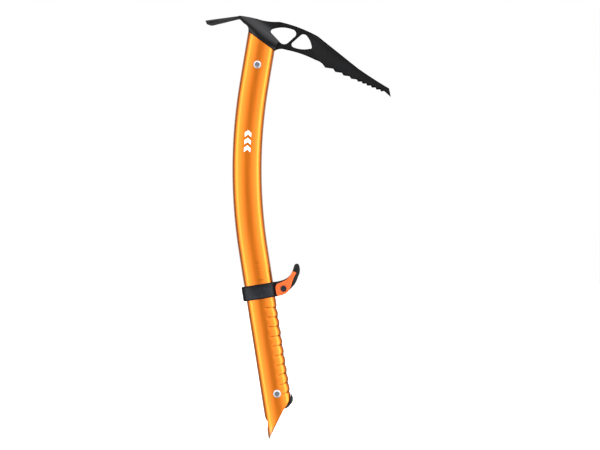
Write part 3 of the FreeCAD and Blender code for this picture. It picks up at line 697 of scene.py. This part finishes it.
class Material(Nodes):
    """A material with a principled shader. Its patterns lie in the model's own frame."""

    def __init__(self, name):
        self.material = bpy.data.materials.new(name)
        self.material.use_nodes = True
        super().__init__(self.material.node_tree)
        self.shader = self.tree.nodes["Principled BSDF"]
        self.place = self.tree.nodes.new("ShaderNodeTexCoord").outputs["Object"]

    def set(self, **values):
        for key, value in values.items():
            self.join(value, self.shader.inputs[key.replace("_", " ")])

    def noise(self, scale, stretch=(1, 1, 1), detail=4.0):
        mapping = self.tree.nodes.new("ShaderNodeMapping")
        mapping.inputs["Scale"].default_value = stretch
        self.join(self.place, mapping.inputs["Vector"])
        node = self.tree.nodes.new("ShaderNodeTexNoise")
        node.inputs["Scale"].default_value = scale
        node.inputs["Detail"].default_value = detail
        self.join(mapping.outputs[0], node.inputs["Vector"])
        return node.outputs["Fac"]

    def blend(self, share, a, b):
        node = self.tree.nodes.new("ShaderNodeMix")
        node.data_type = "RGBA"
        self.join(share, node.inputs["Factor"])
        colours = [socket for socket in node.inputs if socket.type == "RGBA"]
        self.join(a, colours[0])
        self.join(b, colours[1])
        return next(socket for socket in node.outputs if socket.type == "RGBA")

    def attribute(self, name):
        node = self.tree.nodes.new("ShaderNodeAttribute")
        node.attribute_name = name
        return node.outputs["Fac"]

    def edges(self, reach):
        """One along the sharp edges of a piece, nothing on its open faces."""
        node = self.tree.nodes.new("ShaderNodeBevel")
        node.samples = 8
        node.inputs["Radius"].default_value = reach
        dot = self.tree.nodes.new("ShaderNodeVectorMath")
        dot.operation = "DOT_PRODUCT"
        self.join(node.outputs[0], dot.inputs[0])
        self.join(self.tree.nodes.new("ShaderNodeNewGeometry").outputs["True Normal"], dot.inputs[1])
        return self.ramp(dot.outputs["Value"], 0.92, 0.999, 1.0, 0.0)

    def axes(self):
        node = self.tree.nodes.new("ShaderNodeSeparateXYZ")
        self.join(self.place, node.inputs[0])
        return node.outputs

    def bump(self, height, strength, distance):
        node = self.tree.nodes.new("ShaderNodeBump")
        node.inputs["Strength"].default_value = strength
        node.inputs["Distance"].default_value = distance
        self.join(height, node.inputs["Height"])
        self.join(node.outputs["Normal"], self.shader.inputs["Normal"])


def anodised_aluminium():
    """Orange anodised tube: drawn lines along it, a printed mark, painted shade in its grooves, round its
    raised bars and on the bevel's rim, bare metal at the point.
    """
    deep = (0.86, 0.205, 0.002, 1)
    light = (0.92, 0.225, 0.003, 1)
    painted_shade_colour = (0.20, 0.055, 0.006, 1)
    bare = (0.55, 0.42, 0.30, 1)
    white = (0.9, 0.9, 0.9, 1)
    look = Material("orange_anodised")
    lines = look.noise(900, stretch=(1, 1, 0.02), detail=3.0)
    cloud = look.noise(35, stretch=(1, 1, 0.3), detail=3.0)
    near_point = look.ramp(look.axes()[2], 1 * MM, 16 * MM, 1.0, 0.0)
    scratches = look.ramp(look.noise(260, stretch=(1, 1, 0.5), detail=5.0), 0.42, 0.6)
    wear = look.math("MULTIPLY", look.math("MULTIPLY", near_point, scratches), 0.8)
    colour = look.blend(wear, look.blend(look.ramp(cloud, 0.3, 0.7), deep, light), bare)
    shade = look.attribute("shade")
    # Painted shade: the grooves, the raised bars' edges and the bevel's rim are darkened, and their coat is
    # taken away.
    colour = look.blend(look.math("MULTIPLY", shade, 0.9), colour, painted_shade_colour)
    mark = printed_mark(look)
    look.set(Base_Color=look.blend(mark, colour, white), Metallic=look.math("SUBTRACT", 1.0, mark),
             Roughness=look.ramp(lines, 0.2, 0.8, 0.30, 0.38),
             Coat_Weight=look.math("SUBTRACT", 1.0, shade), Coat_IOR=1.37,
             Coat_Roughness=look.ramp(lines, 0.2, 0.8, 0.10, 0.16))
    look.bump(lines, 0.05, 0.05 * MM)
    return look.material


def printed_mark(look):
    """One inside the white chevrons printed on both broad sides of the upper shaft, nothing elsewhere."""
    middle, tilt = axis_at(MARK_ALONG)
    axes = look.axes()
    dx = look.math("SUBTRACT", axes[0], middle.x)
    dz = look.math("SUBTRACT", axes[2], middle.y)
    sine = math.sin(tilt)
    cosine = math.cos(tilt)
    aside = look.math("SUBTRACT", look.math("MULTIPLY", dx, cosine), look.math("MULTIPLY", dz, sine))
    along = look.math("ADD", look.math("MULTIPLY", dx, sine), look.math("MULTIPLY", dz, cosine))
    arm = look.math("ABSOLUTE", aside)
    rise = look.math("MULTIPLY", look.math("SUBTRACT", arm, CHEVRON_HALF_WIDTH / 2), CHEVRON_SLOPE)
    bent = look.math("ADD", along, rise)
    bars = look.math("LESS_THAN", look.math("PINGPONG", bent, CHEVRON_PITCH / 2), CHEVRON_THICKNESS / 2)
    in_width = look.math("LESS_THAN", arm, CHEVRON_HALF_WIDTH)
    in_length = look.math("LESS_THAN", look.math("ABSOLUTE", bent), CHEVRON_COUNT * CHEVRON_PITCH / 2)
    return look.math("MULTIPLY", bars, look.math("MULTIPLY", in_width, in_length))


def coated_steel():
    """Black satin coating over forged steel, with painted shade along its edges."""
    deep = (0.0015, 0.0015, 0.0017, 1)
    light = (0.0035, 0.0035, 0.004, 1)
    painted_edge_shade = (0.0008, 0.0008, 0.001, 1)
    look = Material("black_steel")
    grain = look.noise(1400)
    cloud = look.noise(60)
    # Painted shade: near-black colour and little reflection along the sharp edges.
    edge_shade = look.edges(2.5 * MM)
    look.set(Base_Color=look.blend(edge_shade, look.blend(cloud, deep, light), painted_edge_shade),
             Roughness=look.ramp(cloud, 0.3, 0.7, 0.22, 0.30),
             Specular_IOR_Level=look.ramp(edge_shade, 0.0, 1.0, 0.26, 0.03))
    look.bump(grain, 0.12, 0.05 * MM)
    return look.material


def bright_steel():
    """Plated steel with fine turning lines."""
    look = Material("bright_steel")
    rings = look.noise(700, stretch=(1, 0.2, 1), detail=3.0)
    look.set(Base_Color=(0.33, 0.345, 0.37, 1), Metallic=1.0,
             Roughness=look.ramp(rings, 0.2, 0.8, 0.25, 0.35))
    look.bump(rings, 0.05, 0.05 * MM)
    return look.material


def dark_steel():
    """Blackened steel with a fine grain."""
    look = Material("dark_steel")
    grain = look.noise(900, detail=3.0)
    look.set(Base_Color=(0.022, 0.026, 0.032, 1), Metallic=0.8,
             Roughness=look.ramp(grain, 0.2, 0.8, 0.3, 0.42))
    look.bump(grain, 0.08, 0.05 * MM)
    return look.material


def moulded(name, deep, light, roughness, shine=0.5):
    """Moulded plastic or rubber with a fine sparked grain."""
    look = Material(name)
    grain = look.noise(1100, detail=5.0)
    cloud = look.noise(45, detail=3.0)
    look.set(Base_Color=look.blend(look.ramp(cloud, 0.3, 0.7), deep, light), Specular_IOR_Level=shine,
             Roughness=look.ramp(grain, 0.25, 0.75, roughness - 0.06, roughness + 0.08))
    look.bump(grain, 0.2, 0.06 * MM)
    return look.material


def lever_plastic():
    """Orange plastic, with painted brown shade in the dish round the pin."""
    deep = (0.58, 0.080, 0.008, 1)
    light = (0.68, 0.100, 0.012, 1)
    painted_dish_shade = (0.14, 0.022, 0.005, 1)
    look = Material("orange_plastic")
    grain = look.noise(1100, detail=5.0)
    cloud = look.noise(60, detail=3.0)
    orange = look.blend(look.ramp(cloud, 0.3, 0.7), deep, light)
    # Painted shade: the orange turns brown in the dish round the pin.
    look.set(Base_Color=look.blend(look.attribute("dish"), orange, painted_dish_shade), Specular_IOR_Level=0.35,
             Roughness=look.ramp(grain, 0.25, 0.75, 0.36, 0.50))
    look.bump(grain, 0.25, 0.06 * MM)
    return look.material


def strap_rubber():
    """Grey-black rubber, blacker on the rims than in the clouded panel."""
    deep = (0.002, 0.003, 0.0045, 1)
    light = (0.010, 0.012, 0.016, 1)
    rim_black = (0.0025, 0.0025, 0.003, 1)
    look = Material("strap_rubber")
    grain = look.noise(1000, detail=5.0)
    cloud = look.noise(90, detail=3.0)
    rim = look.attribute("rim")
    panel = look.blend(look.ramp(cloud, 0.35, 0.65), deep, light)
    look.set(Base_Color=look.blend(rim, panel, rim_black),
             Specular_IOR_Level=look.ramp(rim, 0.0, 1.0, 0.2, 0.12),
             Roughness=look.ramp(grain, 0.25, 0.75, 0.42, 0.55))
    look.bump(grain, 0.25, 0.06 * MM)
    return look.material


# Studio

# Tall soft boxes round the axe: azimuth from the camera's side, half width, softness (degrees), brightness
SOFT_BOXES = ((-57, 16, 42, 1.7), (62, 16, 48, 1.7), (-60, 6, 8, 1.6), (66, 6, 8, 2.2),
              (-150, 6, 16, 1.2), (150, 6, 16, 1.2))
SIDES = 0.45            # share of that light left beside and behind the axe
SIDES_FROM = math.radians(75)       # azimuths between which it falls to that
SIDES_TO = math.radians(105)
ROOM = 0.40             # brightness of the room between the boxes
CEILING = 1.6           # more brightness, overhead
CEILING_FROM = 0.35     # sines of the elevations between which it rises
CEILING_TO = 0.75
COOL_WHITE = (0.97, 0.98, 1.0, 1)
LAMPS = {"front_softbox": (-0.6, -2.2, 1.4), "back_softbox": (0.8, 2.2, 1.6)}
LAMP_SIZE = 1.2
LAMP_POWER = 6          # watts
LAMP_TARGET = (0.0, 0.0, 0.23)
FLOOR_RADIUS = 9.0
FLOOR_GAP = 0.6 * MM    # under the point of the foot
LENS = 200              # millimetres, as the sensor
SENSOR = 36
VIEW_WIDTH = 636.8 * MM             # of the picture, in the axe's middle plane
VIEW_MIDDLE = (33.2 * MM, 227.4 * MM)           # X and Z
VIEW_END = 60           # nothing farther is drawn


def studio_floor():
    bpy.ops.mesh.primitive_circle_add(vertices=96, radius=FLOOR_RADIUS, fill_type="NGON",
                                      location=(0, 0, -FLOOR_GAP))
    floor = bpy.context.object
    floor.name = "studio_floor"
    look = Material("pale_floor")
    look.set(Base_Color=(0.96, 0.96, 0.96, 1), Roughness=0.9)
    look.bump(look.noise(9, detail=2.0), 0.02, 0.5 * MM)
    floor.data.materials.append(look.material)
    floor.visible_glossy = False


def soft_lamp(name, place):
    """A lamp that shades matt surfaces and the floor, and isn't mirrored by the metal."""
    data = bpy.data.lights.new(name, "AREA")
    data.shape = "RECTANGLE"
    data.size = LAMP_SIZE
    data.size_y = LAMP_SIZE
    data.energy = LAMP_POWER
    lamp = bpy.data.objects.new(name, data)
    lamp.location = place
    lamp.rotation_euler = (Vector(LAMP_TARGET) - Vector(place)).to_track_quat("-Z", "Y").to_euler()
    lamp.visible_glossy = False
    bpy.context.scene.collection.objects.link(lamp)


def room_light(sky):
    """How bright the room is in each direction: soft boxes round the axe, and a bright ceiling."""
    direction = sky.tree.nodes.new("ShaderNodeSeparateXYZ")
    sky.join(sky.tree.nodes.new("ShaderNodeTexCoord").outputs["Generated"], direction.inputs[0])
    x, y, z = direction.outputs
    azimuth = sky.math("ARCTAN2", x, sky.math("MULTIPLY", y, -1.0))
    light = sky.ramp(z, CEILING_FROM, CEILING_TO, ROOM, ROOM + CEILING)
    for centre, half, soft, bright in SOFT_BOXES:
        away = sky.math("ABSOLUTE", sky.math("SUBTRACT", azimuth, math.radians(centre)))
        box = sky.ramp(away, math.radians(half), math.radians(half + soft), bright, 0.0)
        light = sky.math("ADD", light, box)
    beside = sky.math("ABSOLUTE", azimuth)
    return sky.math("MULTIPLY", light, sky.ramp(beside, SIDES_FROM, SIDES_TO, 1.0, SIDES))


def studio_world():
    """White to the camera. Everything else sees the room."""
    world = bpy.data.worlds.new("studio")
    world.use_nodes = True
    bpy.context.scene.world = world
    world.node_tree.nodes.clear()
    sky = Nodes(world.node_tree)
    output = sky.tree.nodes.new("ShaderNodeOutputWorld")
    mixer = sky.tree.nodes.new("ShaderNodeMixShader")
    rays = sky.tree.nodes.new("ShaderNodeLightPath")
    room = sky.tree.nodes.new("ShaderNodeBackground")
    room.inputs["Color"].default_value = COOL_WHITE
    sky.join(room_light(sky), room.inputs["Strength"])
    white = sky.tree.nodes.new("ShaderNodeBackground")
    white.inputs["Color"].default_value = (1, 1, 1, 1)
    sky.join(rays.outputs["Is Camera Ray"], mixer.inputs[0])
    sky.join(room.outputs[0], mixer.inputs[1])
    sky.join(white.outputs[0], mixer.inputs[2])
    sky.join(mixer.outputs[0], output.inputs[0])


def studio():
    studio_floor()
    studio_world()
    for name, place in LAMPS.items():
        soft_lamp(name, place)
    bpy.context.scene.view_settings.view_transform = "Standard"


def camera():
    """Level with the middle of the picture, square to the axe's broad side."""
    data = bpy.data.cameras.new("camera")
    data.sensor_width = SENSOR
    data.lens = LENS
    data.clip_end = VIEW_END
    view = bpy.data.objects.new("camera", data)
    x, z = VIEW_MIDDLE
    view.location = (x, -VIEW_WIDTH * LENS / SENSOR, z)
    view.rotation_euler = (math.radians(90), 0, 0)
    bpy.context.scene.collection.objects.link(view)
    bpy.context.scene.camera = view


# The axe

def paint(material, *nodes):
    """Gives a material to CAD nodes that are shown with their own meshes."""
    for node in nodes:
        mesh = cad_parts[node].data
        mesh.materials.clear()
        mesh.materials.append(material)


def build_axe(black, bright, black_plastic):
    """The shaft, and all that is fixed to it."""
    make_shaft(anodised_aluminium())
    pick = rounded("pick", "pick_blade", width=0.35 * MM)
    placed(pick, "axe", "black_steel", black, "pick")
    adze = softened("adze", "adze_head", voxel=0.36 * MM, rounds=6)
    placed(adze, "axe", "black_steel", black, "adze")
    plug = softened("foot_plug", "foot_cap", voxel=0.45 * MM, rounds=4)
    placed(plug, "axe", "black_plastic", black_plastic, "foot_plug")
    for end in ("head", "foot"):
        button_head(end + "_screw", end + "_bolt", -1, bright)
        button_head(end + "_sleeve_nut", end + "_nut", 1, bright)
    filler = moulded("filler_plastic", (0.05, 0.05, 0.055, 1), (0.07, 0.07, 0.075, 1), roughness=0.6)
    paint(bright, "tang_rivets")
    paint(filler, "head_filler_near", "head_filler_far")


def build_hand_rest(bright, black_plastic):
    """The strap that slides on the shaft, and its lever, pin and shoe."""
    rubber = strap_rubber()
    make_strap(rubber)
    fork = dished(rounded("trigger_lever", "trigger_fork", width=0.7 * MM))
    placed(fork, "trigger", "orange_plastic", lever_plastic(), "trigger_lever")
    skin = rounded("trigger_overmold", "trigger_skin", width=0.6 * MM)
    placed(skin, "trigger", "black_plastic", black_plastic, "trigger_overmold")
    dark = dark_steel()
    pin = rounded("pivot_pin", "lever_pin", width=0.5 * MM)
    placed(pin, "hand_rest", "dark_steel", dark, "pivot_pin")
    nut = rounded("pivot_nut", "lever_pin_nut", width=0.5 * MM)
    placed(nut, "hand_rest", "dark_steel", dark, "pivot_nut")
    facing = rounded("shoe_pad", "shoe_facing", width=0.3 * MM)
    placed(facing, "shoe", "strap_rubber", rubber, "shoe_pad")
    pale = moulded("washer_plastic", (0.6, 0.6, 0.58, 1), (0.66, 0.66, 0.64, 1), roughness=0.4)
    paint(bright, "lug_bushes")
    paint(black_plastic, "brake_shoe")
    paint(pale, "pivot_washers")


def build():
    bright = bright_steel()
    black_plastic = moulded("black_plastic", (0.003, 0.003, 0.0035, 1), (0.006, 0.006, 0.0065, 1),
                            roughness=0.38, shine=0.35)
    build_axe(coated_steel(), bright, black_plastic)
    build_hand_rest(bright, black_plastic)


build()
studio()
camera()
